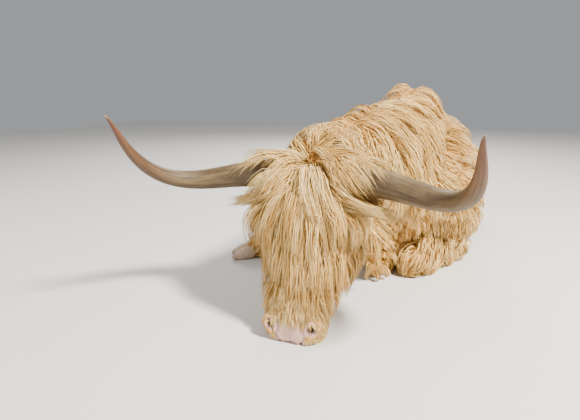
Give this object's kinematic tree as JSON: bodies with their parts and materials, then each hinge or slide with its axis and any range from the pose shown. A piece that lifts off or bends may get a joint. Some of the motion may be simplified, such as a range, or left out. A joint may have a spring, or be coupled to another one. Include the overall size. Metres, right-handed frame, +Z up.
{
  "type": "highland cow",
  "caption": "Life-size highland cow lying on its chest, head lowered and muzzle on the ground, with long wide horns and a shaggy pale coat.",
  "frame": {"origin": "on the floor under the withers, on the flat of the brisket's underside", "axes": "+X to the cow's left, -Y forward along the body, +Z up"},
  "size_m": [1.0799, 2.3922, 0.7681],
  "materials": {
    "coat": "long pale golden hair, lighter at the tips",
    "horn": "grey-brown horn, worn matt, dark at the tip",
    "hoof": "pale pinkish-grey hoof horn with growth lines",
    "eye": "wet dark brown eye",
    "muzzle": "bare damp pink skin of the nose and lips"
  },
  "bodies": {
    "root": {"torso": "coat", "neck": "coat", "head": "coat", "foreleg_left": "coat", "foreleg_right": "coat", "hindleg_left": "coat", "hindleg_right": "coat", "tail": "coat", "tail_switch": "coat", "ear_left": "coat", "ear_right": "coat", "horn_left": "horn", "horn_right": "horn", "eye_left": "eye", "eye_right": "eye", "claw_fore_left_a": "hoof", "claw_fore_left_b": "hoof", "claw_fore_right_a": "hoof", "claw_fore_right_b": "hoof", "claw_hind_left_a": "hoof", "claw_hind_left_b": "hoof", "claw_hind_right_a": "hoof", "claw_hind_right_b": "hoof"}
  },
  "joints": []
}
